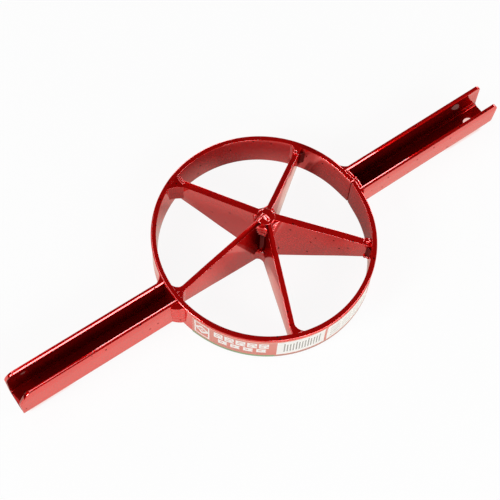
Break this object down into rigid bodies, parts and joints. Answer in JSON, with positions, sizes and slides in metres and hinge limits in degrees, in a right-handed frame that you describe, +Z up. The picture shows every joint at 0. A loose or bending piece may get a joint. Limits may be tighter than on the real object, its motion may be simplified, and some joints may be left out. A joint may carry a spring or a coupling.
{
  "type": "bamboo splitter",
  "caption": "Welded steel ring with radial wedge blades on a centre core and channel handles on both sides, pushed down on a bamboo cane to part it into strips.",
  "frame": {"origin": "centre of the core's lower end, on the ring's axis and in the plane that the ring stands on", "axes": "+Z up along the ring's axis towards the crown, +X along the handles towards the right handle that covers the ring's seam"},
  "size_m": [0.4262, 0.1687, 0.0627],
  "materials": {
    "red_enamel": "gloss",
    "label_paper": "satin"
  },
  "bodies": {
    "root": {"blade_1": "red_enamel", "blade_1_rim_weld_left": "red_enamel", "blade_1_rim_weld_right": "red_enamel", "blade_2": "red_enamel", "blade_2_rim_weld_left": "red_enamel", "blade_2_rim_weld_right": "red_enamel", "blade_3": "red_enamel", "blade_3_rim_weld_left": "red_enamel", "blade_3_rim_weld_right": "red_enamel", "blade_4": "red_enamel", "blade_4_rim_weld_left": "red_enamel", "blade_4_rim_weld_right": "red_enamel", "blade_5": "red_enamel", "blade_5_rim_weld_left": "red_enamel", "crown_weld": "red_enamel", "hub_core": "red_enamel", "hub_lower_weld_1": "red_enamel", "hub_lower_weld_2": "red_enamel", "hub_lower_weld_3": "red_enamel", "hub_lower_weld_4": "red_enamel", "hub_lower_weld_5": "red_enamel", "hub_upper_weld_1": "red_enamel", "hub_upper_weld_2": "red_enamel", "hub_upper_weld_3": "red_enamel", "hub_upper_weld_4": "red_enamel", "hub_upper_weld_5": "red_enamel", "label": "label_paper", "left_handle": "red_enamel", "left_handle_far_weld": "red_enamel", "left_handle_near_weld": "red_enamel", "right_handle": "red_enamel", "right_handle_far_weld": "red_enamel", "right_handle_near_weld": "red_enamel", "right_handle_top_weld": "red_enamel", "ring": "red_enamel"}
  },
  "joints": []
}
